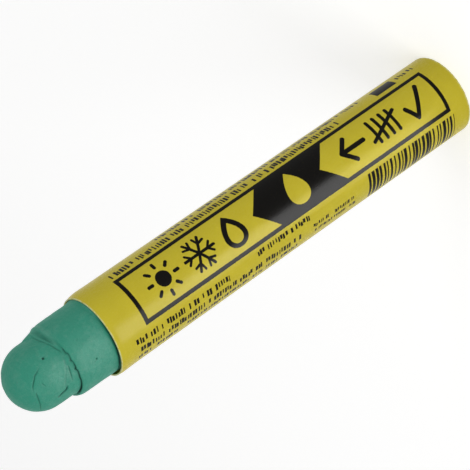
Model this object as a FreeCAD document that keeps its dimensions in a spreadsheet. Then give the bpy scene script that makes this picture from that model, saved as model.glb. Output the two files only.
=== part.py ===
import FreeCAD, Part
import math
import os
import Sketcher

# A solid paint marker: a stick of cast, waxy paint in a wound and printed paper sleeve.
# It stands on its flat rear end. The origin is the centre of that end, +Z runs along the
# axis to the nose, and -Y is the side that the front of the printed label faces.
# Lengths are in millimetres and angles in degrees. A direction is an angle about +Z from +X.

# Every driving size: its name, its value and what it is.
SIZES = [
    ("sleeve_length", 99.7, "paper sleeve, from the rear end to the lip"),
    ("sleeve_radius", 9.25, "outside of the paper sleeve"),
    ("sleeve_wall", 0.46, "all the wound plies together"),
    ("ply_thickness", 0.12, "one ply, which is the step at the lap"),
    ("lap_direction", 128.0, "where the outermost ply ends"),
    ("lap_spread", 34.0, "angle over which the sleeve swells to cover the lap"),
    ("grip_clearance", 0.02, "between the paint and the paper that holds it"),
    ("rear_recess", 0.4, "how far the paint stands back from the rear end"),
    ("lip_gap", 0.39, "between the lip and the bare paint"),
    ("lip_gap_depth", 3.5, "depth of that gap"),
    ("lip_gap_taper", 2.5, "stretch over which the paint swells to fill the bore"),
    ("shank_length", 9.4, "bare paint from the lip to the ledge"),
    ("shank_taper", 0.1, "how much the bare shank narrows before it rounds to the ledge"),
    ("ledge_round", 1.6, "length over which the shank rounds to the ledge"),
    ("ledge_inset", 0.45, "how far that rounding brings the ledge's edge in"),
    ("ledge_width", 0.75, "from the ledge's edge in to the neck of the nose"),
    ("nose_length", 11.55, "from the ledge to the tip of the nose"),
    ("nose_offset", 0.13, "how far the nose stands off the axis, along +X"),
    ("nose_root", 2.0, "how deep the nose is joined into the shank"),
    ("upper_fold_spread", 0.33, "root of the right fold, out from the ledge's edge"),
    ("upper_fold_drop", 1.05, "root of that fold below the ledge"),
    ("upper_fold_rise", 4.1, "end of that fold above the ledge"),
    ("upper_fold_direction", -11.0, "side where that fold ends"),
    ("lower_fold_spread", -0.25, "root of the left fold, out from the ledge's edge"),
    ("lower_fold_drop", 0.2, "root of that fold below the ledge"),
    ("lower_fold_rise", 4.6, "end of that fold above the ledge"),
    ("lower_fold_direction", -140.0, "side where that fold ends"),
    ("fold_end_radius", 0.3, "blunt end of each fold, sunk into the neck"),
    ("ledge_crease_lift", 0.12, "middle of its ring above the ledge"),
    ("ledge_crease_width", 0.46, "deep crease along the ledge"),
    ("ledge_crease_depth", 0.1, "its middle line below the skin"),
    ("ledge_crease_middle", -140.0, "side where it is deepest"),
    ("ledge_crease_span", 124.0, "angle from end to end"),
    ("fold_crease_lift", -0.6, "middle of its ring above the ledge"),
    ("fold_crease_width", 0.34, "crease where the right fold meets the dome"),
    ("fold_crease_depth", 0.05, "its middle line below the skin"),
    ("fold_crease_tilt", 22.0, "its ring off level"),
    ("fold_crease_lean", 168.6, "side that its tilted ring faces"),
    ("fold_crease_middle", -50.0, "side where it is deepest"),
    ("fold_crease_span", 72.0, "angle from end to end"),
]

# Sizes that follow from the driving ones, written as the document's own expressions.
BORE = "(Sizes.sleeve_radius - Sizes.sleeve_wall)"
GRIP = f"({BORE} - Sizes.grip_clearance)"
SHANK = f"({BORE} - Sizes.lip_gap)"
SHANK_END = f"({SHANK} - Sizes.shank_taper)"
LEDGE_EDGE = f"({SHANK_END} - Sizes.ledge_inset)"
NECK = f"({LEDGE_EDGE} - Sizes.ledge_width)"
REAR = "Sizes.rear_recess"
LIP = "Sizes.sleeve_length"
GAP_FLOOR = f"({LIP} - Sizes.lip_gap_depth)"
GAP_FOOT = f"({GAP_FLOOR} - Sizes.lip_gap_taper)"
LEDGE = f"({LIP} + Sizes.shank_length)"
ROUND_START = f"({LEDGE} - Sizes.ledge_round)"
NOSE_FOOT = f"({LEDGE} - Sizes.nose_root)"
TIP = f"({LEDGE} + Sizes.nose_length)"
DOME_CENTRE = f"({TIP} - {NECK})"

doc = FreeCAD.newDocument("SolidPaintMarker")
sheet = doc.addObject("Spreadsheet::Sheet", "Sizes")
for row, (alias, value, meaning) in enumerate(SIZES, start=1):
    sheet.set(f"A{row}", alias)
    sheet.set(f"B{row}", str(value))
    sheet.set(f"C{row}", meaning)
    sheet.setAlias(f"B{row}", alias)
doc.recompute()


def value_of(expression):
    """What an expression of driving sizes comes to."""
    return float(sheet.evalExpression(expression))


def size(alias):
    """The value of one driving size."""
    return value_of(f"Sizes.{alias}")


def polar(radius, direction):
    """The level vector of that length and direction."""
    angle = math.radians(direction)
    return FreeCAD.Vector(radius * math.cos(angle), radius * math.sin(angle), 0)


def place_at(radius, direction):
    """A place in a level sketch at that radius and direction, both given as expressions."""
    return f"{radius} * cos({direction})", f"{radius} * sin({direction})"


# Sketching

def new_sketch(body, name, role, height=""):
    """A sketch on one of the body's own planes, lifted to a height if one is given."""
    plane = next(item for item in body.Origin.OriginFeatures if item.Role == role)
    sketch = body.newObject("Sketcher::SketchObject", name)
    sketch.AttachmentSupport = (plane, [""])
    sketch.MapMode = "FlatFace"
    if height:
        sketch.setExpression("AttachmentOffset.Base.z", height)
    return sketch


def relate(sketch, kind, *places):
    """Adds one constraint that has no size."""
    sketch.addConstraint(Sketcher.Constraint(kind, *places))


def tie(sketch, kind, *places, to):
    """Adds one dimension and binds it to the driving sizes."""
    number = sketch.addConstraint(Sketcher.Constraint(kind, *places, value_of(to)))
    sketch.setExpression(f"Constraints[{number}]", to)


def pin(sketch, shape, end, corner):
    """Binds the place of an end or a centre to the driving sizes."""
    across, up = corner
    tie(sketch, "DistanceX", -1, 1, shape, end, to=across)
    tie(sketch, "DistanceY", -1, 1, shape, end, to=up)


def add_line(sketch, start, end):
    """A line between two places that are given as expressions."""
    places = [FreeCAD.Vector(value_of(across), value_of(up), 0) for across, up in (start, end)]
    return sketch.addGeometry(Part.LineSegment(*places))


def join(sketch, before, after):
    """Makes the end of one line or arc the start of the next."""
    relate(sketch, "Coincident", before, 2, after, 1)


def add_lines(sketch, corners):
    """A chain of lines with every corner pinned but the last, which meets what comes next."""
    lines = [add_line(sketch, start, end) for start, end in zip(corners, corners[1:])]
    for line, corner in zip(lines, corners):
        pin(sketch, line, 1, corner)
    for before, after in zip(lines, lines[1:]):
        join(sketch, before, after)
    return lines


def add_arc(sketch, centre, radius, first, last):
    """An arc that runs anticlockwise from its first direction to its last."""
    circle = Part.Circle(centre, FreeCAD.Vector(0, 0, 1), radius)
    return sketch.addGeometry(Part.ArcOfCircle(circle, math.radians(first), math.radians(last)))


def add_circle(sketch, centre, radius):
    """A whole circle with its centre and radius bound to the driving sizes."""
    across, up = centre
    middle = FreeCAD.Vector(value_of(across), value_of(up), 0)
    circle = sketch.addGeometry(Part.Circle(middle, FreeCAD.Vector(0, 0, 1), value_of(radius)))
    pin(sketch, circle, 3, centre)
    tie(sketch, "Radius", circle, to=radius)


# The paper sleeve

def draw_sleeve_section(body):
    """The bore, and an outside that swells to cover the edge of its outermost ply."""
    sketch = new_sketch(body, "SleeveSection", "XY_Plane")
    outer = size("sleeve_radius")
    lap = size("lap_direction")
    swell = lap - size("lap_spread")
    low = outer - size("ply_thickness")
    # The swelling arc leaves the circle in line with it and comes down to the ply below.
    reach = (outer**2 - low**2) / (2 * (outer - low * math.cos(math.radians(lap - swell))))
    centre = polar(reach, swell)
    low_point = polar(low, lap)
    end_direction = math.degrees(math.atan2(low_point.y - centre.y, low_point.x - centre.x))

    step_foot = place_at("(Sizes.sleeve_radius - Sizes.ply_thickness)", "Sizes.lap_direction")
    step_top = place_at("Sizes.sleeve_radius", "Sizes.lap_direction")
    step = add_line(sketch, step_foot, step_top)
    pin(sketch, step, 1, step_foot)
    pin(sketch, step, 2, step_top)
    round_arc = add_arc(sketch, FreeCAD.Vector(), outer, lap, swell + 360)
    relate(sketch, "Coincident", round_arc, 3, -1, 1)
    join(sketch, step, round_arc)
    swell_ray = sketch.addGeometry(Part.LineSegment(FreeCAD.Vector(), polar(outer, swell)), True)
    relate(sketch, "Coincident", swell_ray, 1, -1, 1)
    relate(sketch, "Coincident", swell_ray, 2, round_arc, 2)
    tie(sketch, "Angle", -1, 1, swell_ray, 1, to="(Sizes.lap_direction - Sizes.lap_spread) * 1 deg")
    swell_arc = add_arc(sketch, centre, outer - reach, swell, end_direction)
    relate(sketch, "Tangent", round_arc, 2, swell_arc, 1)
    join(sketch, swell_arc, step)
    add_circle(sketch, ("0", "0"), BORE)
    return sketch


def make_sleeve():
    """The wound paper sleeve, open at both ends and cut off square."""
    body = doc.addObject("PartDesign::Body", "PaperSleeve")
    body.Label = "paper_sleeve"
    section = draw_sleeve_section(body)
    sleeve = body.newObject("PartDesign::Pad", "WoundSleeve")
    sleeve.Profile = section
    sleeve.setExpression("Length", LIP)
    return body


# The cast paint

def draw_stick(body):
    """Half of the stick: the gripped part, the shank and its rounded end."""
    sketch = new_sketch(body, "StickProfile", "XZ_Plane")
    shank_end = (SHANK_END, ROUND_START)
    ledge_edge = (LEDGE_EDGE, LEDGE)
    side = add_lines(
        sketch,
        [("0", REAR), (GRIP, REAR), (GRIP, GAP_FOOT), (SHANK, GAP_FLOOR), shank_end],
    )
    pin(sketch, side[-1], 2, shank_end)
    top = add_lines(sketch, [ledge_edge, ("0", LEDGE), ("0", REAR)])
    join(sketch, top[-1], side[0])

    # The rounding leaves the shank in line with it and ends at the ledge.
    turn = 2 * math.atan2(size("ledge_inset"), size("ledge_round"))
    radius = size("ledge_round") / math.sin(turn)
    centre = FreeCAD.Vector(value_of(SHANK_END) - radius, value_of(ROUND_START), 0)
    rounding = add_arc(sketch, centre, radius, 0, math.degrees(turn))
    relate(sketch, "Tangent", side[-1], 2, rounding, 1)
    join(sketch, rounding, top[0])
    return sketch


def draw_nose(body):
    """Half of the neck and dome, about an axis of its own beside the stick's axis."""
    sketch = new_sketch(body, "NoseProfile", "XZ_Plane")
    axis_at = "Sizes.nose_offset"
    skin_at = f"(Sizes.nose_offset + {NECK})"
    side = add_lines(sketch, [(axis_at, NOSE_FOOT), (skin_at, NOSE_FOOT), (skin_at, DOME_CENTRE)])
    pin(sketch, side[-1], 2, (skin_at, DOME_CENTRE))
    back = add_lines(sketch, [(axis_at, TIP), (axis_at, NOSE_FOOT)])
    join(sketch, back[0], side[0])
    centre = FreeCAD.Vector(value_of(axis_at), value_of(DOME_CENTRE), 0)
    dome = add_arc(sketch, centre, value_of(NECK), 0, 90)
    relate(sketch, "Tangent", side[-1], 2, dome, 1)
    join(sketch, dome, back[0])
    axis = add_line(sketch, (axis_at, NOSE_FOOT), (axis_at, TIP))
    sketch.setConstruction(axis, True)
    relate(sketch, "Coincident", axis, 1, side[0], 1)
    relate(sketch, "Coincident", axis, 2, back[0], 1)
    return sketch


def revolve(body, name, sketch, axis):
    """A full turn of a half profile."""
    feature = body.newObject("PartDesign::Revolution", name)
    feature.Profile = sketch
    feature.ReferenceAxis = (sketch, [axis])
    feature.Angle = 360
    doc.recompute()


def add_fold(body, fold):
    """A fold of paint drawn forward from the ledge to a blunt end at the neck's skin."""
    foot = new_sketch(body, f"{fold}_foot", "XY_Plane", f"{LEDGE} - Sizes.{fold}_drop")
    add_circle(foot, ("0", "0"), f"({LEDGE_EDGE} + Sizes.{fold}_spread)")
    end = new_sketch(body, f"{fold}_end", "XY_Plane", f"{LEDGE} + Sizes.{fold}_rise")
    blunt_end = place_at(f"({NECK} - Sizes.fold_end_radius)", f"Sizes.{fold}_direction")
    add_circle(end, blunt_end, "Sizes.fold_end_radius")
    loft = body.newObject("PartDesign::AdditiveLoft", fold)
    loft.Profile = foot
    loft.Sections = [end]
    loft.Ruled = True
    doc.recompute()


def make_stick():
    """The casting before its skin creases: stick, nose and the two folds."""
    body = doc.addObject("PartDesign::Body", "Casting")
    body.Label = "plain_casting"
    revolve(body, "Stick", draw_stick(body), "V_Axis")
    revolve(body, "Nose", draw_nose(body), "Axis0")
    add_fold(body, "upper_fold")
    add_fold(body, "lower_fold")
    return body


def add_crease(name, skin, tilt=0.0, lean=0.0):
    """A ring that bites into the skin in the middle of its span and runs out at both ends.

    The skin is about that far from the axis. The ring is the circle through three points:
    one under the skin in the middle, and one over it at each end of the span.
    """
    centre = FreeCAD.Vector(0, 0, value_of(LEDGE) + size(f"{name}_lift"))
    half_span = size(f"{name}_span") / 2
    under = skin - size(f"{name}_depth")
    over = skin + size(f"{name}_width") / 2
    back = (over**2 - under**2) / (2 * (under - over * math.cos(math.radians(half_span))))
    middle = size(f"{name}_middle")
    turn = FreeCAD.Rotation(polar(1.0, lean + 90), tilt)
    ring = doc.addObject("Part::Torus", name)
    ring.Radius1 = under + back
    ring.setExpression("Radius2", f"Sizes.{name}_width / 2")
    ring.setExpression("Angle3", f"Sizes.{name}_span")
    spin = FreeCAD.Rotation(FreeCAD.Vector(0, 0, 1), middle - half_span)
    place = centre - turn.multVec(polar(back, middle))
    ring.Placement = FreeCAD.Placement(place, turn.multiply(spin))
    return ring


def make_paint():
    """The cast paint with its two creases."""
    creases = doc.addObject("Part::MultiFuse", "Creases")
    creases.Shapes = [
        add_crease("ledge_crease", value_of(LEDGE_EDGE)),
        add_crease("fold_crease", value_of(NECK), size("fold_crease_tilt"), size("fold_crease_lean")),
    ]
    paint = doc.addObject("Part::Cut", "SolidPaint")
    paint.Label = "solid_paint"
    paint.Base = make_stick()
    paint.Tool = creases
    return paint


# Checks and files

def check_document():
    """Stops if any object of the document has failed."""
    for item in doc.Objects:
        if "Invalid" in item.State or "Error" in item.State:
            raise RuntimeError(f"{item.Label} has failed: {item.State}")


def write_step(piece):
    """Writes one sub-part after making sure that its shape is sound."""
    shape = piece.Shape
    if shape.isNull() or not shape.isValid() or len(shape.Solids) != 1:
        raise RuntimeError(f"{piece.Label} isn't one sound solid")
    shape.exportStep(f"parts/{piece.Label}.step")
    print(f"{piece.Label}: {shape.Volume:.1f} mm3")


pieces = [make_sleeve(), make_paint()]
doc.recompute()
check_document()
os.makedirs("parts", exist_ok=True)
for piece in pieces:
    write_step(piece)
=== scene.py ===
import math
from contextlib import contextmanager
from functools import reduce

import bmesh
import bpy
from bpy.props import FloatProperty, FloatVectorProperty, IntProperty, PointerProperty
from bpy.types import Operator, Panel, PropertyGroup
from mathutils import Color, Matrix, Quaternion, Vector
from mathutils.kdtree import KDTree


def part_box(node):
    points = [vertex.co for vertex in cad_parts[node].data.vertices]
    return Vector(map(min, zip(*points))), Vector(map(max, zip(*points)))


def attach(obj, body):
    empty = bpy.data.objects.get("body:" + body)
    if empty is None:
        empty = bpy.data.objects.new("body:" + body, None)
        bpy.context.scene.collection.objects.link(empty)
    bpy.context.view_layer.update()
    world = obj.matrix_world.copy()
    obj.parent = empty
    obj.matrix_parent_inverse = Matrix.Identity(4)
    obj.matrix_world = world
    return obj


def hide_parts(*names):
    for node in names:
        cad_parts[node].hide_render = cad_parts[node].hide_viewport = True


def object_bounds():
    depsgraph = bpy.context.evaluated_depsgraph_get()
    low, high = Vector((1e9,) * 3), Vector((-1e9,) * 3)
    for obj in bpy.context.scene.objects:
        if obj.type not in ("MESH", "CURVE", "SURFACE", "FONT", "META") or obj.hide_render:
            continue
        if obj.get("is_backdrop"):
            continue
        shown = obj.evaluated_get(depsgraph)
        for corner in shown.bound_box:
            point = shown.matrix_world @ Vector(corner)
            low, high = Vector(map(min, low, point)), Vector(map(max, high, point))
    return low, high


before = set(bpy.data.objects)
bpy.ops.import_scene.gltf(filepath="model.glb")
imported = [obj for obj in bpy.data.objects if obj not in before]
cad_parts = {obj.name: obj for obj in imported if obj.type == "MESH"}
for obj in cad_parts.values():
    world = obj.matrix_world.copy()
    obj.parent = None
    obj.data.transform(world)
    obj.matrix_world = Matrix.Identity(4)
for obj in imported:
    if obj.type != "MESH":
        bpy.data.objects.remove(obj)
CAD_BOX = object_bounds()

# The looks of a solid paint marker: a stick of cast, waxy paint in a printed paper sleeve.
# It stands on its rear end, with the nose up +Z and the front of the label towards -Y.
# A place on its skin is given by its height and by its turn: degrees from -Y towards +X.

bl_info = {
    "name": "Solid paint marker",
    "version": (1, 0, 0),
    "blender": (4, 5, 0),
    "location": "3D Viewport > Sidebar > Marker",
    "description": "A stick of cast paint in a printed paper sleeve, with its stage",
    "category": "Add Mesh",
}

MM = 0.001
TINY = 1e-6
WHITE = (1, 1, 1, 1)
BLACK = (0, 0, 0, 1)
LEAST_WEIGHT = 0.001

SLEEVE_LOW, SLEEVE_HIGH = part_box("paper_sleeve")
PAINT_LOW, PAINT_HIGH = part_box("solid_paint")


# Sizes and colours that a user would change

def number(name, value, description, **settings):
    """A property that holds one number."""
    return FloatProperty(name=name, description=description, default=value, **settings)


def length(name, millimetres, description):
    """A length, given in millimetres and kept in metres."""
    return number(name, millimetres * MM, description, unit="LENGTH", precision=5)


def angle(name, degrees, description):
    """An angle, given in degrees and kept in radians."""
    return number(name, math.radians(degrees), description, unit="ROTATION")


def fraction(name, value, description):
    """A share from 0 to 1."""
    return number(name, value, description, min=0, max=1, subtype="FACTOR")


def faces(name, value, description):
    """A number of faces."""
    return IntProperty(name=name, description=description, default=value, min=3)


def triple(name, value, description, **settings):
    """A property that holds three numbers."""
    return FloatVectorProperty(name=name, description=description, default=value, size=3, **settings)


def spot(name, value, description):
    """A place, in metres."""
    return triple(name, value, description, subtype="TRANSLATION", unit="LENGTH")


def colour(name, value, description):
    """A colour."""
    return triple(name, value, description, subtype="COLOR", min=0, max=1)


class SleeveSizes(PropertyGroup):
    radius: length("Radius", SLEEVE_HIGH.y / MM, "Outside of the paper sleeve")
    wall: length("Wall", 0.46, "All the wound plies together")
    lip_wall: length("Lip wall", 0.3, "Plies pressed thin at the lip's edge")
    ply: length("Ply", 0.12, "Step at the edge of the outermost ply")
    flare: length("Lip flare", 0.1, "How far the sleeve bells out before its lip")
    flare_length: length("Flare length", 5.0, "Stretch over which the sleeve bells out")
    crush: length("Lip crush", 0.13, "How far the lip's very edge is pressed back in")
    crush_length: length("Crush length", 1.0, "Stretch over which the lip is pressed back in")
    tuck: length("Lip tuck", 0.30, "How far the lip is pressed in towards the paint on one side")
    tuck_length: length("Tuck length", 2.6, "Stretch over which it is pressed in")
    tuck_turn: angle("Tuck turn", 92, "Turn at which it is pressed in")
    tuck_spread: angle("Tuck spread", 80, "Turn to each side over which that fades")
    waviness: length("Waviness", 0.05, "How far the wound paper is from a true cylinder")
    wave: length("Wave", 9, "Size of those waves")
    edge_round: length("Edge round", 0.07, "Worn corners of the two cut edges")
    lap: angle("Lap", 218, "Turn at which the outermost ply ends")
    lap_width: length("Lap width", 0.05, "How far that ply's step goes to each side")
    swell: angle("Swell", 34, "Turn over which the sleeve covers the lap")
    sharp: angle("Sharp", 35, "Edges that turn more than this stay sharp")
    columns: faces("Columns", 240, "Faces round the sleeve")
    rings: faces("Rings", 90, "Faces along the sleeve")


class PaintSizes(PropertyGroup):
    grip_radius: length("Grip radius", PAINT_HIGH.y / MM, "Paint held by the sleeve")
    shank_radius: length("Shank radius", 8.4, "Bare paint at the foot of the shank")
    shank_end_radius: length("Shank end radius", 8.3, "Bare paint where it starts to round")
    ledge_radius: length("Ledge radius", 7.85, "Outer edge of the ledge")
    ledge_height: length("Ledge height", 109.1, "Ledge above the rear end")
    ledge_round: length("Ledge round", 1.6, "Length over which the shank rounds to the ledge")
    nose_radius: length("Nose radius", 7.15, "Neck and dome of the nose")
    nose_offset: length("Nose offset", -0.06, "How far the nose stands off the axis, along +X")
    nose_reach: length("Nose reach", 0.22, "How far the worn dome stands past the solid's nose")
    nose_root: length("Nose root", 2.0, "How deep the nose is joined into the shank")
    fold_end: length("Fold end", 0.3, "Blunt end of each fold, sunk into the neck")
    gap_floor: length("Gap floor", 96.2, "Floor of the gap behind the lip")
    gap_foot: length("Gap foot", 93.7, "Where the paint fills the sleeve again")
    cut_depth: length("Cut depth", 0.5, "How far below that foot the modelled skin is cut off")
    spare: length("Spare", 1.5, "What is modelled below the cut, and goes with it")
    merge: length("Merge", 0.02, "Points of the cut that are nearer than this become one")
    rim: fraction("Rim", 0.94, "Inner edge of the rear end's rim, as a share of its radius")
    dish: fraction("Dish", 0.64, "Foot of the rear end's dish, as a share of the rim's inner edge")
    dish_depth: length("Dish depth", 0.15, "How far the rear end has sunk in its middle")
    wear: length("Wear", 0.16, "Depth of the dents from handling")
    wear_size: length("Wear size", 3.2, "Size of those dents")
    wrinkle: length("Wrinkle", 0.03, "Depth of the fine wrinkles")
    wrinkle_size: length("Wrinkle size", 0.9, "Size of those wrinkles")
    grain: length("Grain", 0.125, "Faces of the modelled skin")
    faces_kept: fraction("Faces kept", 0.72, "Share of the skin's faces kept, most where it is uneven")
    sharp: angle("Sharp", 50, "Edges that turn more than this stay sharp")
    spin_steps: faces("Spin steps", 240, "Faces round each turned shape")


class Finish(PropertyGroup):
    yellow: colour("Yellow", (0.568, 0.474, 0.030), "Printed face of the paper")
    deep_yellow: colour("Deep yellow", (0.515, 0.416, 0.022), "Where its coat is thicker")
    fibre: colour("Fibre", (0.60, 0.53, 0.078), "Fibres that show through it")
    ink: colour("Ink", (0.0008, 0.0006, 0.0004), "Black print")
    thin_ink: colour("Thin ink", (0.05, 0.04, 0.015), "Specks where the print is thin")
    # Lap shade: painted shadow beside the step of the outermost ply.
    lap_shade: colour("Lap shade", (0.10, 0.075, 0.01), "Dirt beside the paper's lap")
    print_gloss: fraction("Print gloss", 0.075, "Specular level of the printed face")
    print_roughness: fraction("Print roughness", 0.21, "Roughness of the printed face")
    cut_edge: colour("Cut edge", (0.86, 0.96, 0.72), "Bare paper where it is cut")
    inside: colour("Inside", (0.20, 0.17, 0.12), "Bare paper in the bore")
    glue: colour("Glue", (0.20, 0.16, 0.10), "Glue between the plies")
    paint: colour("Paint", (0.027, 0.266, 0.176), "Cast paint")
    bloom: colour("Bloom", (0.080, 0.310, 0.222), "Dry, greyer patches of its skin")
    speckle: colour("Speckle", (0.016, 0.205, 0.140), "Fine darker grain of its skin")
    # Painted shade in the paint's creases, pits and the gap behind the lip.
    crease_shade: colour("Soaked", (0.002, 0.045, 0.030), "Paint in its creases")
    wax_gloss: fraction("Wax gloss", 0.3, "Specular level of the paint")
    wax_roughness: fraction("Wax roughness", 0.60, "Roughness of the paint")
    floor: colour("Floor", (0.88, 0.88, 0.875), "Floor that the marker stands on")
    floor_glow: colour("Floor glow", (0.40, 0.40, 0.40), "What makes the lit floor white to the camera")


class StageSizes(PropertyGroup):
    camera_back: length("Camera back", 391.74, "Camera before the marker, towards -Y")
    camera_height: length("Camera height", 254.33, "Camera above the floor")
    aim_height: length("Aim height", 60.73, "Where the camera looks on the marker")
    aim_across: length("Aim across", 0.36, "How far beside the axis it looks, towards +X")
    lens: number("Lens", 161.54, "Focal length", unit="CAMERA")
    sensor: number("Sensor", 36, "Width of the sensor", unit="CAMERA")
    roll: angle("Roll", -124.87, "Turn of the camera about its view")
    floor: length("Floor", 6000, "Side of the floor")
    sky: number("Sky", 0.50, "Plain light all round, where 1 is white", min=0)
    key_watts: number("Key", 2.3, "Large soft lamp at the left", unit="POWER")
    key_place: spot("Key place", (-0.44, -0.58, 0.38), "Where that lamp stands")
    key_size: length("Key size", 450, "Side of that lamp")
    fill_watts: number("Fill", 0.8, "Large soft lamp, high at the right", unit="POWER")
    fill_place: spot("Fill place", (0.60, -0.25, 0.50), "Where that lamp stands")
    fill_size: length("Fill size", 500, "Side of that lamp")
    card_glow: number("Card glow", 13.0, "The card that the gloss mirrors", min=0)
    card_near: length("Card near", 25, "Its near edge, from the marker's axis")
    card_far: length("Card far", 260, "Its far edge, from the marker's axis")
    card_turn: angle("Card turn", -36, "Where the card lies, from -Y")
    card_spread: angle("Card spread", 40, "Angle that the card fills, seen from the marker")


# Modelling

def deselect():
    """Leaves nothing selected."""
    for item in bpy.context.selected_objects:
        item.select_set(False)


def activate(piece):
    """Selects one object alone."""
    deselect()
    piece.select_set(True)
    bpy.context.view_layer.objects.active = piece


@contextmanager
def editing(piece, elements="VERT", start="DESELECT"):
    """Edit mode on one piece, with nothing or everything selected at the start."""
    activate(piece)
    bpy.ops.object.mode_set(mode="EDIT")
    bpy.ops.mesh.select_mode(type=elements)
    bpy.ops.mesh.select_all(action=start)
    yield bmesh.from_edit_mesh(piece.data)
    bpy.ops.object.mode_set(mode="OBJECT")


def settle(name):
    """Names what was just added, and puts its place and turn into its mesh."""
    piece = bpy.context.object
    piece.name = name
    bpy.ops.object.transform_apply(location=True, rotation=True)
    return piece


def pick(items, test):
    """Selects the elements that pass the test."""
    for item in items:
        item.select_set(test(item))


def modify(piece, kind, **settings):
    """Adds one modifier and applies it."""
    activate(piece)
    modifier = piece.modifiers.new(kind, kind)
    for name, value in settings.items():
        setattr(modifier, name, value)
    bpy.ops.object.modifier_apply(modifier=modifier.name)


def add_group(piece, name, weights):
    """A vertex group with a weight for each vertex, apart from those that hardly weigh."""
    group = piece.vertex_groups.new(name=name)
    for index, weight in enumerate(weights):
        if weight > LEAST_WEIGHT:
            group.add([index], weight, "REPLACE")


def press(piece, name, distance, weights):
    """Moves the skin out by that distance times each vertex's weight."""
    add_group(piece, name, weights)
    modify(piece, "DISPLACE", vertex_group=name, strength=distance, mid_level=0)


def weigh(piece, weight_of):
    """A weight for each vertex, from its place."""
    return [weight_of(vertex.co) for vertex in piece.data.vertices]


def dent(piece, name, size, height, depth=2):
    """Moves the skin in and out in lumps of that size and height."""
    texture = bpy.data.textures.new(name, "CLOUDS")
    texture.noise_scale = size
    texture.noise_depth = depth
    modify(piece, "DISPLACE", texture=texture, strength=height, mid_level=0.5)


def on_skin(radius, turn, height):
    """The place at that radius, turn in degrees and height."""
    around = math.radians(turn)
    return Vector((radius * math.sin(around), -radius * math.cos(around), height))


def turn_of(place):
    """The turn of a place about the axis, in radians, from -pi to pi."""
    return math.atan2(place.x, -place.y)


def eased(way):
    """A share of the way, from 0 to 1, that starts and stops gently."""
    way = min(max(way, 0.0), 1.0)
    return way * way * (3 - 2 * way)


def finish_piece(piece, node, materials):
    """Gives a piece its materials and its body, in place of a CAD node."""
    piece.data.name = piece.name
    for material in materials:
        piece.data.materials.append(material)
    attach(piece, "root")
    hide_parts(node)


# The cast paint

# Marks in the skin, in millimetres and degrees: how wide each is, and the turn, the height
# above the ledge and the depth at points along it. A negative depth is a raised ridge.
# A pressed mark is also painted darker by the paint's material, as painted shade.
SKIN_MARKS = [
    # The main crease, ragged where it tore, under the fold at the ledge.
    (0.18, [
        (15, 0, 0), (9, 0.02, 0.28), (3, 0.03, 0.2), (0, -0.05, 0.32), (-6, -0.03, 0.22),
        (-11, 0.02, 0.34), (-14, -0.07, 0.28), (-22, -0.05, 0.44), (-26, 0.01, 0.5),
        (-30, -0.12, 0.44), (-41, -0.08, 0.56), (-46, -0.16, 0.5), (-62, -0.05, 0.6),
        (-78, 0.05, 0.5), (-100, 0.15, 0.2), (-125, 0.3, 0),
    ]),
    # The ledge's own edge on the right, the hollow before it, and the fold that ends there.
    (0.50, [
        (125, -0.1, 0), (100, -0.05, -0.2), (75, 0, -0.26), (50, 0.05, -0.24),
        (30, 0.1, -0.16), (12, 0.1, 0),
    ]),
    (0.18, [(85, 0.15, -0.03), (60, 0.25, -0.12), (40, 0.25, -0.13), (24, 0.15, -0.09), (14, 0.05, 0)]),
    (0.42, [(76, 1.1, 0), (66, 1.05, 0.10), (50, 0.95, 0.13), (34, 0.75, 0.09), (22, 0.55, 0)]),
    (0.20, [
        (84, 1.75, 0), (70, 1.8, -0.10), (60, 1.75, -0.14), (46, 1.5, -0.15),
        (32, 1.0, -0.12), (18, 0.6, 0),
    ]),
    (0.13, [
        (74, 2.15, 0), (64, 2.15, 0.06), (54, 2.08, 0.12), (46, 1.95, 0.14),
        (32, 1.35, 0.16), (15, 0.72, 0.18), (6, 0.35, 0),
    ]),
    # The lower branch, and the dark hook where the left fold ends.
    (0.20, [
        (6, 0.3, 0), (-2, 0.8, 0.05), (-12, 1.2, 0.06), (-22, 1.8, 0.05), (-39, 2.9, 0.07),
        (-49, 3.1, 0),
    ]),
    (0.30, [(0, 1.1, 0), (-20, 2.1, -0.06), (-38, 3.3, -0.06), (-48, 3.7, 0)]),
    (0.19, [(-42, 2.7, 0), (-49, 2.9, 0.4), (-52, 3.5, 0.55), (-54, 4.4, 0.45), (-57, 5.4, 0)]),
    (0.13, [(-14, 0.85, 0), (-20, 0.95, 0.18), (-29, 1.15, 0.2), (-36, 1.3, 0.14), (-42, 1.35, 0)]),
    # Cracks in the dome.
    (0.11, [
        (9, 5.8, 0), (4, 6.8, 0.16), (0.8, 7.55, 0.2), (-6.7, 8.25, 0.22), (-14, 8.8, 0.2),
        (-20, 9.0, 0.08), (-27, 9.2, 0),
    ]),
    (0.11, [
        (-26, 8.8, 0), (-31, 8.8, 0.16), (-45, 8.8, 0.2), (-62, 8.72, 0.16),
        (-76, 8.6, 0.12), (-90, 8.5, 0),
    ]),
    (0.10, [(-15, 7.25, 0), (-18, 7.1, 0.14), (-22, 6.9, 0.1), (-26, 6.7, 0)]),
    # The side that the photograph doesn't show has a crease of its own.
    (0.16, [(140, 0.1, 0), (158, 0.1, 0.25), (178, 0, 0.3), (200, 0.15, 0.2), (215, 0.3, 0)]),
    (0.12, [(150, 4.6, 0), (160, 5.6, 0.12), (172, 6.3, 0.14), (186, 6.6, 0)]),
    # The paint has shrunk from the sleeve on the left, and clings to it on the right.
    # The pressed mark on the left is also painted darker, as painted shade in the gap behind the lip.
    (0.24, [
        (24, -9.6, 0), (0, -9.62, 0.2), (-30, -9.64, 0.4), (-60, -9.62, 0.5), (-95, -9.6, 0.4),
        (-130, -9.6, 0),
    ]),
    (0.45, [(150, -9.6, 0), (115, -9.6, -0.1), (70, -9.6, -0.22), (36, -9.6, -0.24), (14, -9.6, 0)]),
]
# How many of its widths a mark reaches, and how many places are worked out between two points.
MARK_REACH = 3
MARK_STEPS = 16
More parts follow.
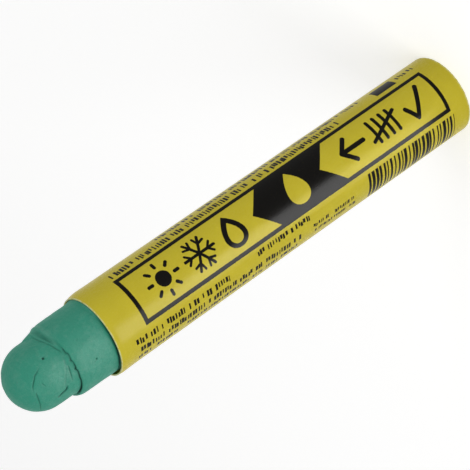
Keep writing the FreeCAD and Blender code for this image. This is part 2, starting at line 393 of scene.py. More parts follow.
# Open bubbles: width, turn, height above the ledge and depth.
BUBBLES = [
    (0.20, 16.5, 4.15, 0.55),
    (0.14, -29, -4.7, 0.4),
    (0.10, -31, -4.1, 0.15),
    (0.10, 8, -3.1, 0.14),
    (0.12, 121, -5.2, 0.3),
    (0.14, 203, 3.6, 0.3),
]
# Folds drawn forward from the ledge: the spread of the foot past the ledge's edge, its drop
# below the ledge, the rise of the end above it, all in millimetres, and that end's turn.
FOLDS = {
    "right_fold": (0.33, 1.05, 4.1, 79),
    "left_fold": (-0.25, 0.2, 4.6, -50),
}


def spin_profile(name, axis, corners, steps):
    """A solid of revolution from the radius and height of each corner of its profile."""
    places = [axis + Vector((radius, 0, height)) for radius, height in corners]
    bpy.ops.mesh.primitive_plane_add(size=MM, location=places[0])
    piece = settle(name)
    with editing(piece, start="SELECT"):
        bpy.ops.mesh.merge(type="CENTER")
        for start, end in zip(places, places[1:]):
            bpy.ops.mesh.extrude_region_move(TRANSFORM_OT_translate={"value": end - start})
        bpy.ops.mesh.select_all(action="SELECT")
        bpy.ops.mesh.spin(steps=steps, angle=math.tau, center=axis, axis=(0, 0, 1))
        bpy.ops.mesh.select_all(action="SELECT")
        bpy.ops.mesh.remove_doubles(threshold=TINY)
        bpy.ops.mesh.normals_make_consistent(inside=False)
    return piece


def arc(centre, radius, first, last, steps):
    """Corners of an arc in a profile, between two angles up from level."""
    angles = [math.radians(first + (last - first) * step / steps) for step in range(steps + 1)]
    return [(centre[0] + radius * math.cos(a), centre[1] + radius * math.sin(a)) for a in angles]


def model_stick(sizes, bottom):
    """The gripped paint, the shank and its rounded end."""
    inset = sizes.shank_end_radius - sizes.ledge_radius
    bend = 2 * math.degrees(math.atan2(inset, sizes.ledge_round))
    radius = sizes.ledge_round / math.sin(math.radians(bend))
    start = sizes.ledge_height - sizes.ledge_round
    rounding = arc((sizes.shank_end_radius - radius, start), radius, 0, bend, steps=12)
    corners = [
        (0, bottom),
        (sizes.grip_radius, bottom),
        (sizes.grip_radius, sizes.gap_foot),
        (sizes.shank_radius, sizes.gap_floor),
        *rounding,
        (0, sizes.ledge_height),
    ]
    return spin_profile("stick", Vector((0, 0, 0)), corners, sizes.spin_steps)


def model_nose(sizes):
    """The neck and dome, about an axis beside the stick's."""
    root = sizes.ledge_height - sizes.nose_root
    centre = PAINT_HIGH.z + sizes.nose_reach - sizes.nose_radius
    dome = arc((0, centre), sizes.nose_radius, 0, 90, steps=48)
    corners = [(0, root), (sizes.nose_radius, root), *dome]
    return spin_profile("nose", Vector((sizes.nose_offset, 0, 0)), corners, sizes.spin_steps)


def model_fold(sizes, name):
    """A fold drawn forward from the ledge to a blunt end at the neck's skin."""
    spread, drop, rise, turn = FOLDS[name]
    foot = sizes.ledge_height - drop * MM
    high = (drop + rise) * MM
    bpy.ops.mesh.primitive_cone_add(
        vertices=sizes.spin_steps,
        radius1=sizes.ledge_radius + spread * MM,
        radius2=sizes.fold_end,
        depth=high,
        location=(0, 0, foot + high / 2),
    )
    fold = settle(name)
    with editing(fold) as mesh:
        pick(mesh.verts, lambda vertex: vertex.co.z > foot + high / 2)
        bpy.ops.transform.translate(value=on_skin(sizes.nose_radius - sizes.fold_end, turn, 0))
    return fold


def skin_place(piece, turn, height):
    """The place on the skin at a turn and a height, found from outside."""
    start = on_skin(2 * SLEEVE_HIGH.y, turn, height)
    axis = Vector((0, 0, height))
    hit, found, _, _ = piece.ray_cast(start, (axis - start).normalized())
    if not hit:
        raise RuntimeError(f"No skin at turn {turn} and height {height / MM:.2f} mm")
    return found


def curve_value(before, start, end, after, way):
    """A value part of the way from start to end on a smooth curve through all four."""
    return (
        start
        + way * 0.5 * (end - before)
        + way**2 * (before - 2.5 * start + 2 * end - 0.5 * after)
        + way**3 * (-0.5 * before + 1.5 * start - 1.5 * end + 0.5 * after)
    )


def mark_points(piece, ledge, path):
    """Places along one mark, close together on a smooth line, each with its depth."""
    points = [path[0], *path, path[-1]]
    for span in range(len(path) - 1):
        values = list(zip(*points[span:span + 4]))
        for step in range(MARK_STEPS):
            turn, rise, depth = (curve_value(*four, step / MARK_STEPS) for four in values)
            yield skin_place(piece, turn, ledge + rise * MM), depth


def press_marks(piece, sizes):
    """Presses the creases, cracks and bubbles into the skin and raises its ridges."""
    ledge = sizes.ledge_height
    lines = [(width * MM, list(mark_points(piece, ledge, path))) for width, path in SKIN_MARKS]
    for width, turn, rise, depth in BUBBLES:
        lines.append((width * MM, [(skin_place(piece, turn, ledge + rise * MM), depth)]))

    pressed = [0.0] * len(piece.data.vertices)
    raised = [0.0] * len(piece.data.vertices)
    for width, line in lines:
        tree = KDTree(len(line))
        for number, (point, _) in enumerate(line):
            tree.insert(point, number)
        tree.balance()
        for vertex in piece.data.vertices:
            _, number, distance = tree.find(vertex.co)
            if distance > MARK_REACH * width:
                continue
            depth = line[number][1] * math.exp(-((distance / width) ** 2))
            pressed[vertex.index] = max(pressed[vertex.index], depth)
            raised[vertex.index] = max(raised[vertex.index], -depth)
    # A weight of 1 stands for a depth of 1 mm.
    press(piece, "pressed", -MM, pressed)
    press(piece, "raised", MM, raised)


def keep_as_attribute(piece, group_name, attribute_name):
    """Copies a vertex group's weights to an attribute that a material can read."""
    number = piece.vertex_groups[group_name].index
    attribute = piece.data.attributes.new(attribute_name, "FLOAT", "POINT")
    for vertex in piece.data.vertices:
        for member in vertex.groups:
            if member.group == number:
                attribute.data[vertex.index].value = member.weight


def model_paint(sizes):
    """The whole casting, with its bare end modelled in full."""
    cut = sizes.gap_foot - sizes.cut_depth
    parts = [model_stick(sizes, cut - sizes.spare), model_nose(sizes)]
    parts += [model_fold(sizes, name) for name in FOLDS]
    activate(parts[0])
    for part in parts:
        part.select_set(True)
    bpy.ops.object.join()
    piece = bpy.context.object
    piece.name = "cast_paint"
    modify(piece, "REMESH", mode="VOXEL", voxel_size=sizes.grain)
    modify(piece, "SMOOTH", factor=0.5, iterations=6)
    press_marks(piece, sizes)
    dent(piece, "hand_wear", sizes.wear_size, sizes.wear)
    dent(piece, "wrinkles", sizes.wrinkle_size, sizes.wrinkle)
    modify(piece, "SMOOTH", factor=0.3, iterations=1)
    modify(piece, "DECIMATE", ratio=sizes.faces_kept)

    # The rest is a plain wall, hidden in the sleeve, down to the rear end's rim and dish.
    steps = [(PAINT_LOW.z - cut, 1), (0, sizes.rim), (sizes.dish_depth, sizes.dish)]
    with editing(piece, start="SELECT") as mesh:
        bpy.ops.mesh.bisect(
            plane_co=(0, 0, cut), plane_no=(0, 0, 1), clear_inner=True, threshold=TINY,
        )
        bpy.ops.mesh.select_all(action="DESELECT")
        pick(mesh.verts, lambda vertex: vertex.is_boundary)
        bpy.ops.mesh.remove_doubles(threshold=sizes.merge)
        pick(mesh.edges, lambda edge: edge.is_boundary)
        for shift, scale in steps:
            bpy.ops.mesh.extrude_edges_move(TRANSFORM_OT_translate={"value": (0, 0, shift)})
            bpy.ops.transform.resize(value=(scale, scale, 1), center_override=(0, 0, PAINT_LOW.z))
        bpy.ops.mesh.edge_face_add()
    # The paint's material reads the pressed depth to paint shade into the marks.
    keep_as_attribute(piece, "pressed", "crease")
    keep_as_attribute(piece, "raised", "ridge")
    activate(piece)
    bpy.ops.object.shade_smooth_by_angle(angle=sizes.sharp)
    return piece


# The paper sleeve

def is_rim_corner(edge):
    """True for an edge that runs round the outside or the bore at either end."""
    near = 0.1 * MM
    if len({face.material_index for face in edge.link_faces}) != 2:
        return False
    return all(min(vertex.co.z, SLEEVE_HIGH.z - vertex.co.z) < near for vertex in edge.verts)


def model_sleeve(sizes):
    """The wound tube with its lap, its belled lip and two square-cut ends."""
    bpy.ops.mesh.primitive_cylinder_add(
        vertices=sizes.columns,
        radius=sizes.radius,
        depth=SLEEVE_HIGH.z,
        end_fill_type="NOTHING",
        location=(0, 0, SLEEVE_HIGH.z / 2),
        rotation=(0, 0, sizes.lap),
    )
    piece = settle("printed_sleeve")
    half_column = math.pi / sizes.columns

    def at_lap(vertex):
        """True for a vertex on the line where the outermost ply ends."""
        aside = (turn_of(vertex.co) - sizes.lap + math.pi) % math.tau - math.pi
        return abs(aside) < half_column

    with editing(piece, "EDGE") as mesh:
        pick(mesh.edges, lambda edge: abs(edge.verts[0].co.z - edge.verts[1].co.z) > MM)
        bpy.ops.mesh.subdivide(number_cuts=sizes.rings)
    for below_lip in (0.3, 0.7):
        with editing(piece, start="SELECT"):
            plane = (0, 0, SLEEVE_HIGH.z - below_lip * sizes.crush_length)
            bpy.ops.mesh.bisect(plane_co=plane, plane_no=(0, 0, 1), threshold=TINY)
    with editing(piece, "EDGE") as mesh:
        pick(mesh.edges, lambda edge: all(at_lap(vertex) for vertex in edge.verts))
        bpy.ops.mesh.bevel(offset=sizes.lap_width, segments=1, affect="EDGES")

    def lap_drop(place):
        """Share of a ply by which the outside has come in, next to the lap."""
        before_lap = (sizes.lap - turn_of(place)) % math.tau
        if before_lap > sizes.swell:
            return 0.0
        return 1 - eased(before_lap / sizes.swell)

    def near_lip(stretch):
        """What gives any place its share of the way along the last stretch before the lip."""
        return lambda place: eased((place.z - SLEEVE_HIGH.z + stretch) / stretch)

    belled = near_lip(sizes.flare_length)
    crushed = near_lip(sizes.crush_length)
    near_tuck = near_lip(sizes.tuck_length)

    def tucked(place):
        """Share of the tuck, which is greatest on one side of the lip."""
        aside = abs(turn_of(place) - sizes.tuck_turn) / sizes.tuck_spread
        return near_tuck(place) * eased(1 - aside)

    def full_wall(place):
        """Share of the wall's thickness, which is least at the lip."""
        return 1 - (1 - sizes.lip_wall / sizes.wall) * belled(place)

    forms = [
        ("lap", -sizes.ply, weigh(piece, lap_drop)),
        ("flare", sizes.flare, weigh(piece, belled)),
        ("crush", -sizes.crush, weigh(piece, crushed)),
        ("tuck", -sizes.tuck, weigh(piece, tucked)),
    ]
    for name, distance, weights in forms:
        press(piece, name, distance, weights)
    dent(piece, "wound_paper", sizes.wave, sizes.waviness, depth=1)
    add_group(piece, "wall", weigh(piece, full_wall))
    modify(
        piece, "SOLIDIFY", thickness=sizes.wall, offset=-1, use_even_offset=True,
        vertex_group="wall", material_offset=1, material_offset_rim=2,
    )
    with editing(piece, "EDGE") as mesh:
        pick(mesh.edges, is_rim_corner)
        bpy.ops.mesh.bevel(offset=sizes.edge_round, segments=2, affect="EDGES", clamp_overlap=True)
    activate(piece)
    bpy.ops.object.shade_smooth_by_angle(angle=sizes.sharp)
    return piece


# Shader arithmetic

class Wire:
    """An output of a shader node. Arithmetic on it adds Math nodes."""

    def __init__(self, tree, socket):
        self.tree = tree
        self.socket = socket

    def math(self, operation, *values):
        """One Math node on these values, in their order."""
        sockets = dict(enumerate(values))
        return self.tree.add("ShaderNodeMath", {"operation": operation}, sockets)["Value"]

    def __add__(self, other):
        return self.math("ADD", self, other)

    __radd__ = __add__

    def __sub__(self, other):
        return self.math("SUBTRACT", self, other)

    def __rsub__(self, other):
        return self.math("SUBTRACT", other, self)

    def __mul__(self, other):
        return self.math("MULTIPLY", self, other)

    __rmul__ = __mul__

    def __truediv__(self, other):
        return self.math("DIVIDE", self, other)

    def __rtruediv__(self, other):
        return self.math("DIVIDE", other, self)

    def __mod__(self, other):
        return self.math("FLOORED_MODULO", self, other)

    def __neg__(self):
        return self.math("MULTIPLY", self, -1.0)

    def __abs__(self):
        return self.math("ABSOLUTE", self)

    def least(self, *others):
        """The least of this and the others."""
        return reduce(lambda first, second: first.math("MINIMUM", first, second), others, self)

    def most(self, *others):
        """The greatest of this and the others."""
        return reduce(lambda first, second: first.math("MAXIMUM", first, second), others, self)

    def share(self):
        """This, kept from 0 to 1."""
        return self.most(0.0).least(1.0)

    def below(self, edge, softness):
        """1 where this is under the edge, 0 where it is over, and soft between."""
        return self.math("MULTIPLY_ADD", self, -1 / softness, edge / softness + 0.5).share()

    def above(self, edge, softness):
        """1 where this is over the edge, 0 where it is under, and soft between."""
        return self.math("MULTIPLY_ADD", self, 1 / softness, 0.5 - edge / softness).share()


class Tree:
    """The nodes of one material or world."""

    def __init__(self, owner):
        owner.use_nodes = True
        self.owner = owner
        self.nodes = owner.node_tree.nodes
        self.links = owner.node_tree.links
        self.nodes.clear()

    def add(self, kind, settings, values):
        """Adds a node, sets it up, feeds its sockets and gives its outputs by name."""
        node = self.nodes.new(kind)
        for name, value in settings.items():
            setattr(node, name, value)
        for key, value in values.items():
            if isinstance(key, int):
                socket = node.inputs[key]
            else:
                socket = next(each for each in node.inputs if each.enabled and each.name == key)
            if isinstance(value, Wire):
                self.links.new(value.socket, socket)
            elif isinstance(value, Color):
                socket.default_value = (*value, 1)
            else:
                socket.default_value = value
        return {each.name: Wire(self, each) for each in node.outputs if each.enabled}

    def place(self):
        """The place on the piece, in millimetres."""
        metres = self.add("ShaderNodeTexCoord", {}, {})["Object"]
        return self.vector("SCALE", metres, Scale=1 / MM)

    def turn(self, place):
        """The turn of each point about the axis, in radians, from -pi to pi."""
        parts = self.add("ShaderNodeSeparateXYZ", {}, {0: place})
        return parts["X"].math("ARCTAN2", parts["X"], -parts["Y"])

    def height(self, place):
        """How far each point is up from the rear end."""
        return self.add("ShaderNodeSeparateXYZ", {}, {0: place})["Z"]

    def vector(self, operation, *values, **named):
        """One Vector Math node. It gives its vector, or its value where it has only that."""
        sockets = {**dict(enumerate(values)), **named}
        outputs = self.add("ShaderNodeVectorMath", {"operation": operation}, sockets)
        return outputs.get("Vector") or outputs["Value"]

    def blend(self, share, first, second):
        """The first colour, turning to the second as the share goes to 1."""
        settings = {"data_type": "RGBA", "clamp_factor": True}
        values = {"Factor": share, "A": first, "B": second}
        return self.add("ShaderNodeMix", settings, values)["Result"]

    def noise(self, place, scale, detail=2.0, roughness=0.5, distortion=0.0):
        """Soft random values about 0.5, with that many lumps to the millimetre."""
        values = {
            "Vector": place,
            "Scale": scale,
            "Detail": detail,
            "Roughness": roughness,
            "Distortion": distortion,
        }
        return self.add("ShaderNodeTexNoise", {}, values)["Fac"]

    def chance(self, number):
        """An even random value for each whole number."""
        settings = {"noise_dimensions": "1D"}
        return self.add("ShaderNodeTexWhiteNoise", settings, {"W": number})["Value"]

    def bump(self, height, distance, amount, under=None):
        """A normal for that height, in millimetres, on top of another if one is given."""
        values = {"Height": height, "Distance": distance * MM, "Strength": amount}
        if under:
            values["Normal"] = under
        return self.add("ShaderNodeBump", {}, values)["Normal"]

    def seen(self):
        """1 for the rays by which a background shows: straight on, mirrored or through glass."""
        rays = self.add("ShaderNodeLightPath", {}, {})
        return rays["Is Camera Ray"].most(rays["Is Glossy Ray"], rays["Is Transmission Ray"])

    def finish(self, values):
        """Gives the material, with constants on the shader's own sockets."""
        shader = self.add("ShaderNodeBsdfPrincipled", {}, values)["BSDF"]
        self.add("ShaderNodeOutputMaterial", {}, {"Surface": shader})
        return self.owner


# The print

class Stencil:
    """Print on the unrolled label, in millimetres: across from the frame's end by the nose,
    and up from its middle. A shape is a distance from its edge, negative inside."""

    def __init__(self, tree, across, up):
        self.tree = tree
        self.across = across
        self.up = up
        self.point = tree.add("ShaderNodeCombineXYZ", {}, {"X": across, "Y": up})["Vector"]
        self.print = None

    def ink(self, shape):
        """Adds a shape to the print."""
        self.print = self.print.least(shape) if self.print else shape

    def wipe(self, shape):
        """Takes a shape out of what is printed so far."""
        self.print = self.print.most(-shape)

    def box(self, left, right, bottom, top, across=None):
        """An upright box."""
        beside = abs((across or self.across) - (left + right) / 2) - (right - left) / 2
        return beside.most(abs(self.up - (bottom + top) / 2) - (top - bottom) / 2)

    def from_point(self, across, up):
        """How far away a point is."""
        return self.tree.vector("DISTANCE", self.point, (across, up, 0))

    def stroke(self, width, *corners, point=None):
        """Inks a pen line with round ends through these corners."""
        for start, end in zip(corners, corners[1:]):
            run = (end[0] - start[0], end[1] - start[1], 0)
            squared = run[0] ** 2 + run[1] ** 2
            offset = self.tree.vector("SUBTRACT", point or self.point, (*start, 0))
            share = (self.tree.vector("DOT_PRODUCT", offset, run) / squared).share()
            nearest = self.tree.vector("SCALE", run, Scale=share)
            self.ink(self.tree.vector("DISTANCE", offset, nearest) - width / 2)

    def drop(self, wide, high, across, bottom):
        """A drop with a round foot and a pointed top."""
        share = ((self.up - bottom) / high).share()
        # The curve reaches 1 / stretch at its widest, a third of the way up.
        stretch = 3 * math.sqrt(3) / 2
        half = share.math("SQRT", share) * (1 - share) * (wide / 2 * stretch)
        beside = abs(self.across - across) - half
        return beside.most(abs(self.up - bottom - high / 2) - high / 2)

    def spokes(self, count, across, up):
        """A point that counts out along the nearest of some even spokes, and off to its side."""
        over = self.up - up
        around = over.math("ARCTAN2", over, self.across - across)
        step = math.tau / count
        folded = (around + step / 2) % step - step / 2
        far = self.from_point(across, up)
        along = far * folded.math("COSINE", folded)
        beside = abs(far * folded.math("SINE", folded))
        return self.tree.add("ShaderNodeCombineXYZ", {}, {"X": along, "Y": beside})["Vector"]

    def ticks(self, left, right, bottom, top, seed, pitch, gaps=0.0):
        """A row of upright ticks of uneven width, of which a share is left out."""
        place = (self.across - left) / pitch
        cell = place.math("FLOOR", place)
        kind = self.tree.chance(cell + seed)
        # In shares of the pitch: the middle of each tick, and how far it goes to each side.
        middle = cell + 0.34 + self.tree.chance(cell + seed / 2) * 0.32
        tick = abs(place - middle) - (0.16 + kind * 0.30)
        left_out = kind.below(gaps, 0.001)
        return self.box(left, right, bottom, top).most((tick + left_out) * pitch)

    def small_print(self, left, right, bottom, top, seed, pitch):
        """A row of ticks in groups, some of them shorter at the foot or at the head."""
        # The most that a tick's foot or head is cut by, in shares of half the row's height.
        most = 0.6
        place = (self.across - left) / pitch
        cell = place.math("FLOOR", place)
        cut = self.tree.chance(cell - seed) - 0.5
        over = self.up - (top + bottom) / 2
        half = (top - bottom) / 2
        within = abs(over + cut * half * most) - half * (1 - abs(cut) * most)
        return self.ticks(left, right, bottom, top, seed, pitch, gaps=0.14).most(within)


# The label, in millimetres: its frame, and where that frame's end and middle lie on the sleeve.
FRAME_WIDE = 86.9
FRAME_HALF = 5.9
FRAME_LINE = 0.95
LABEL_START = 92.1
LABEL_MIDDLE = 1.43
# Rows of small print: left, right, bottom, top, seed and pitch.
SMALL_PRINT = [
    (0.3, 63.8, 6.6, 8.4, 11, 0.72),
    (14.4, 71.8, 9.3, 10.9, 207, 0.72),
    (82.4, 87.4, 7.9, 9.4, 128, 0.72),
    (-3.4, 21.5, -9.0, -7.4, 331, 0.72),
    (29.3, 44.4, -8.0, -6.65, 449, 0.72),
    (-3.4, 42.1, -11.35, -9.8, 562, 0.72),
    (-3.4, 40.4, -13.3, -12.1, 683, 0.72),
    (44.8, 57.1, -10.7, -9.6, 754, 0.5),
    (44.8, 57.1, -12.3, -11.3, 871, 0.5),
]


def draw_label(tree, place, sizes):
    """How far each point of the sleeve is from the edge of the print, negative in the ink."""
    bleed = (tree.noise(place, scale=3.0, detail=3.0) - 0.5) * 0.14
    up = tree.turn(place) * (sizes.radius / MM) - LABEL_MIDDLE + bleed
    across = LABEL_START - tree.height(place) + bleed
    label = Stencil(tree, across, up)

    # A broad arrow band that points to the nose, with a drop of paint in it.
    slanted = across - abs(up) * 0.95
    label.ink(label.box(32.6, 51.6, -FRAME_HALF, FRAME_HALF, across=slanted))
    label.wipe(label.drop(5.4, 7.8, 44.6, -3.9))

    # Where it can be used: in the sun, in the frost and in the wet.
    sun, frost, wet = 8.4, 18.0, 27.0
    label.ink(label.from_point(sun, 0.0) - 1.75)
    label.stroke(0.75, (2.9, 0.0), (3.8, 0.0), point=label.spokes(8, sun, 0.0))
    flake = label.spokes(6, frost, 0.0)
    label.stroke(0.65, (0.0, 0.0), (3.8, 0.0), point=flake)
    label.stroke(0.55, (2.1, 0.0), (3.2, 1.1), point=flake)
    label.ink(label.drop(5.6, 7.6, wet, -3.8).most(-label.drop(3.2, 4.9, wet, -2.9)))

    # What the marker draws: an arrow, a tally and a tick.
    broad, narrow = 1.05, 0.85
    label.stroke(broad, (58.0, 0.0), (64.3, 0.0))
    label.stroke(broad, (60.6, 2.7), (58.0, 0.0), (60.6, -2.7))
    for bar in (67.6, 69.5, 71.4, 73.3):
        label.stroke(narrow, (bar + 0.2, -2.6), (bar - 0.2, 2.6))
    label.stroke(narrow, (66.3, -1.9), (74.6, 1.8))
    label.stroke(broad, (77.0, 0.1), (78.9, -2.9), (82.9, 3.3))

    # The frame round them.
    inner = FRAME_HALF - FRAME_LINE
    outside = label.box(0, FRAME_WIDE, -FRAME_HALF, FRAME_HALF)
    label.ink(outside.most(-label.box(FRAME_LINE, FRAME_WIDE - FRAME_LINE, -inner, inner)))

    # Outside it: rows of small print, a plain block and a row of bars.
    for row in SMALL_PRINT:
        label.ink(label.small_print(*row))
    label.ink(label.box(75.4, 81.3, 7.0, 10.0))
    label.ink(label.ticks(61.1, 87.4, -14.0, -6.9, seed=92, pitch=1.08))
    return label.print


# Finishes

def printed_paper(colours, sizes):
    """Glossy yellow print on wound paper, with black print over it."""
    tree = Tree(bpy.data.materials.new("label_print"))
    place = tree.place()
    ink = draw_label(tree, place, sizes).below(0.0, 0.07)

    # The coat is cloudy, fibres drawn out along the axis show in it, and both ends are scuffed.
    cloud = tree.noise(place, 0.16, detail=3.0)
    drawn_out = tree.vector("MULTIPLY", place, (1, 1, 0.35))
    fibre = tree.noise(drawn_out, 5.0, detail=4.0, roughness=0.6)
    speck = tree.noise(place, 2.2).above(0.71, softness=0.05)
    height = tree.height(place)
    lip = SLEEVE_HIGH.z / MM
    near_end = height.below(0.2, softness=0.5) + height.above(lip - 0.1, softness=0.3)
    worn = tree.noise(place, 1.3, detail=4.0, roughness=0.65).above(0.45, softness=0.25)
    scuff = near_end * worn

    cloudy = (cloud - 0.5) * 0.9 + 0.30
    yellow = tree.blend(cloudy, colours.yellow, colours.deep_yellow)
    yellow = tree.blend(fibre * 0.16, yellow, colours.fibre)
    black = tree.blend(fibre * 0.04 + speck * 0.2, colours.ink, colours.thin_ink)
    face = tree.blend(ink, yellow, black)

    # The outermost ply ends in a ragged pale edge, with a painted shadow beside its step.
    beside_lap = (tree.turn(place) - sizes.lap + math.tau) * (sizes.radius / MM)
    ragged = beside_lap + (tree.noise(place, 1.5, detail=3.0) - 0.5) * 0.10
    lap_shadow = abs(ragged + 0.16).below(0.08, softness=0.10)
    pale = abs(ragged).below(0.06, softness=0.06)
    face = tree.blend(lap_shadow * 0.55, face, colours.lap_shade)
    face = tree.blend(pale * 0.85, face, colours.cut_edge)
    face = tree.blend(scuff * 0.7, face, colours.cut_edge)

    under = tree.bump(cloud * 2 + tree.noise(place, 0.5), distance=0.05, amount=0.5)
    return tree.finish({
        "Base Color": face,
        "Roughness": colours.print_roughness + fibre * 0.12 - ink * 0.02 + scuff * 0.3,
        "Specular IOR Level": colours.print_gloss,
        "Normal": tree.bump(fibre, distance=0.012, amount=0.6, under=under),
    })


def bare_paper(name, paper, glued, colours, sizes):
    """Uncoated paper, with as much glue at the edges of its plies as its cut shows."""
    tree = Tree(bpy.data.materials.new(name))
    place = tree.place()
    flat = tree.vector("MULTIPLY", place, (1, 1, 0))
    depth = tree.vector("LENGTH", flat) + tree.noise(place, 0.8) * 0.05
    ply = (depth / (sizes.ply / MM)) % 1.0
    glue = abs(ply - 0.5).above(0.40, softness=0.12)
    fibre = tree.noise(place, 7.0, detail=4.0, roughness=0.65)
    base = tree.blend(fibre * 0.25, paper, paper * 0.6)
    base = tree.blend(glue * glued, base, colours.glue)
    return tree.finish({
        "Base Color": base,
        "Roughness": 0.78 + fibre * 0.15,
        "Normal": tree.bump(fibre - glue * 0.5, distance=0.03, amount=0.7),
    })


def waxy_paint(colours):
    """Dull cast paint: a dry bloom in patches, fine wrinkles, and painted shade in its creases and
    pits.
    """
    tree = Tree(bpy.data.materials.new("waxy_paint"))
    place = tree.place()
    crease = tree.add("ShaderNodeAttribute", {"attribute_name": "crease"}, {})["Fac"]
    ridge = tree.add("ShaderNodeAttribute", {"attribute_name": "ridge"}, {})["Fac"]
    patch = tree.noise(place, 0.25, detail=4.0, roughness=0.6, distortion=0.4)
    mottle = tree.noise(place, 1.2, detail=4.0, roughness=0.65)
    grain = tree.noise(place, 7.0, detail=3.0, roughness=0.6)
    drawn_out = tree.vector("MULTIPLY", place, (1, 1, 0.22))
    drawn = tree.noise(drawn_out, 1.6, detail=3.0, roughness=0.55, distortion=0.6)
    bubble = tree.noise(place, 3.0, detail=1.0).above(0.78, softness=0.04)

    # The raised ridges are drawn paler too, in the bloom colour.
    bloom = (patch - 0.44) * 1.8 + (mottle - 0.5) * 1.7 + (drawn - 0.5) * 0.6 + ridge * 2.5
    skin = tree.blend(bloom, colours.paint, colours.bloom)
    skin = tree.blend((grain - 0.42) * 1.7, skin, colours.speckle)
    # Painted shade: the paint is darker in its pressed creases, in the gap behind the lip and in its
    # pits.
    skin = tree.blend(crease * 2.6 + bubble * 0.35, skin, colours.crease_shade)
    under = tree.bump(drawn * 0.6 + mottle + patch, distance=0.16, amount=0.7)
    fine = grain * 0.8 - bubble * 1.5
    return tree.finish({
        "Base Color": skin,
        "Roughness": colours.wax_roughness + (grain - 0.5) * 0.2 + crease * 0.4,
        "Specular IOR Level": colours.wax_gloss,
        "Subsurface Weight": 0.12,
        "Subsurface Radius": (0.4, 0.9, 0.6),
        "Subsurface Scale": 0.4 * MM,
        "Normal": tree.bump(fine, distance=0.045, amount=0.8, under=under),
    })


def pale_floor(colours):
    """A plain matte floor."""
    tree = Tree(bpy.data.materials.new("pale_floor"))
    glow = tree.blend(tree.seen(), BLACK, colours.floor_glow)
    return tree.finish({
        "Base Color": colours.floor,
        "Roughness": 0.9,
        "Specular IOR Level": 0.2,
        "Emission Color": glow,
        "Emission Strength": 1.0,
    })


def glowing_card(glow):
    """A plain white glow."""
    tree = Tree(bpy.data.materials.new("gloss_card"))
    return tree.finish({"Base Color": BLACK, "Emission Color": WHITE, "Emission Strength": glow})


# Stage

def add_lamp(name, power, stand, size, aim):
    """A square soft lamp that looks at a point and isn't seen itself."""
    bpy.ops.object.light_add(type="AREA", location=stand)
    lamp = bpy.context.object
    lamp.name = name
    lamp.data.energy = power
    lamp.data.shape = "SQUARE"
    lamp.data.size = size
    lamp.rotation_euler = (aim - Vector(stand)).to_track_quat("-Z", "Y").to_euler()
    lamp.visible_camera = False


def lay_card(sizes):
    """A card on the floor before the marker, seen only in its gloss."""
    near, far = sizes.card_near, sizes.card_far
    bpy.ops.mesh.primitive_plane_add(size=far - near, location=(0, -(near + far) / 2, MM))
    card = settle("gloss_card")
    half_width = (far - near) / 2
    for distance in (near, far):
        with editing(card) as mesh:
            pick(mesh.verts, lambda vertex: abs(vertex.co.y + distance) < MM)
            wider = distance * math.tan(sizes.card_spread / 2) / half_width
            bpy.ops.transform.resize(value=(wider, 1, 1))
    card.rotation_euler.z = sizes.card_turn
    bpy.ops.object.transform_apply(rotation=True)
    card.data.materials.append(glowing_card(sizes.card_glow))
    card.visible_camera = False
    card.visible_diffuse = False
    card.visible_shadow = False
    card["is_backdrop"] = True


def light_world(sky):
    """Plain light all round, seen as white."""
    world = bpy.data.worlds.new("studio")
    bpy.context.scene.world = world
    tree = Tree(world)
    soft, white = (
        tree.add("ShaderNodeBackground", {}, {"Color": WHITE, "Strength": level})["Background"]
        for level in (sky, 1.0)
    )
    both = tree.add("ShaderNodeMixShader", {}, {0: tree.seen(), 1: soft, 2: white})["Shader"]
    tree.add("ShaderNodeOutputWorld", {}, {"Surface": both})


class MARKER_OT_cast_paint(Operator):
    """Models the cast paint and gives it its waxy skin"""

    bl_idname = "marker.cast_paint"
    bl_label = "Cast paint"

    def execute(self, context):
        piece = model_paint(context.scene.marker_paint)
        finish_piece(piece, "solid_paint", [waxy_paint(context.scene.marker_finish)])
        return {"FINISHED"}


class MARKER_OT_paper_sleeve(Operator):
    """Models the wound paper sleeve and prints its label"""

    bl_idname = "marker.paper_sleeve"
    bl_label = "Paper sleeve"

    def execute(self, context):
        sizes = context.scene.marker_sleeve
        colours = context.scene.marker_finish
        piece = model_sleeve(sizes)
        materials = [
            printed_paper(colours, sizes),
            bare_paper("bore_paper", colours.inside, 0.0, colours, sizes),
            bare_paper("cut_paper", colours.cut_edge, 0.12, colours, sizes),
        ]
        finish_piece(piece, "paper_sleeve", materials)
        return {"FINISHED"}


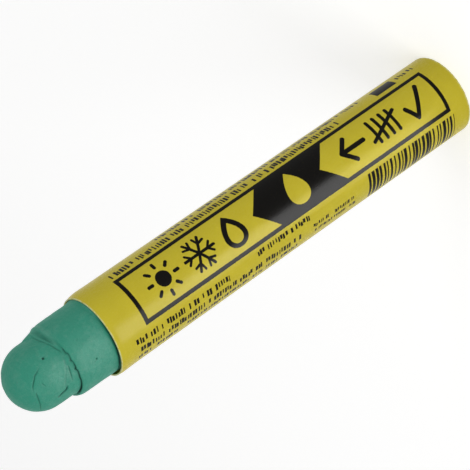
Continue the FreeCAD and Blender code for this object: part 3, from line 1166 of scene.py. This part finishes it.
class MARKER_OT_stage(Operator):
    """Adds the floor, the studio light and the camera"""

    bl_idname = "marker.stage"
    bl_label = "Stage"

    def execute(self, context):
        sizes = context.scene.marker_stage
        bpy.ops.mesh.primitive_plane_add(size=sizes.floor)
        floor = settle("studio_floor")
        floor.data.materials.append(pale_floor(context.scene.marker_finish))
        floor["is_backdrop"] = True

        middle = Vector((0, 0, sizes.aim_height))
        add_lamp("key_lamp", sizes.key_watts, sizes.key_place, sizes.key_size, middle)
        add_lamp("fill_lamp", sizes.fill_watts, sizes.fill_place, sizes.fill_size, middle)
        lay_card(sizes)
        light_world(sizes.sky)

        stand = Vector((0, -sizes.camera_back, sizes.camera_height))
        aim = Vector((sizes.aim_across, 0, sizes.aim_height))
        bpy.ops.object.camera_add(location=stand)
        camera = context.object
        camera.rotation_mode = "QUATERNION"
        level = (aim - stand).to_track_quat("-Z", "Y")
        camera.rotation_quaternion = level @ Quaternion((0, 0, 1), sizes.roll)
        camera.data.lens = sizes.lens
        camera.data.sensor_width = sizes.sensor
        context.scene.camera = camera
        context.scene.view_settings.view_transform = "Standard"
        return {"FINISHED"}


class VIEW3D_PT_marker(Panel):
    """Sizes, colours and steps of the paint marker"""

    bl_label = "Solid paint marker"
    bl_space_type = "VIEW_3D"
    bl_region_type = "UI"
    bl_category = "Marker"

    def draw(self, context):
        for operator, group in STEPS:
            self.layout.operator(operator.bl_idname)
            settings = getattr(context.scene, group)
            for name in settings.__annotations__:
                self.layout.prop(settings, name)
        for name in Finish.__annotations__:
            self.layout.prop(context.scene.marker_finish, name)


GROUPS = {
    "marker_paint": PaintSizes,
    "marker_sleeve": SleeveSizes,
    "marker_stage": StageSizes,
    "marker_finish": Finish,
}
STEPS = [
    (MARKER_OT_cast_paint, "marker_paint"),
    (MARKER_OT_paper_sleeve, "marker_sleeve"),
    (MARKER_OT_stage, "marker_stage"),
]
CLASSES = [*GROUPS.values(), *(operator for operator, _ in STEPS), VIEW3D_PT_marker]


def register():
    for each in CLASSES:
        bpy.utils.register_class(each)
    for name, group in GROUPS.items():
        setattr(bpy.types.Scene, name, PointerProperty(type=group))


def unregister():
    for name in GROUPS:
        delattr(bpy.types.Scene, name)
    for each in reversed(CLASSES):
        bpy.utils.unregister_class(each)


def main():
    """Registers the add-on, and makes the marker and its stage."""
    register()
    deselect()
    bpy.ops.marker.cast_paint()
    bpy.ops.marker.paper_sleeve()
    bpy.ops.marker.stage()
    boxes = {"cad": CAD_BOX, "visual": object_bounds()}
    numbers = {name: [list(corner) for corner in box] for name, box in boxes.items()}


if __name__ == "__main__":
    main()
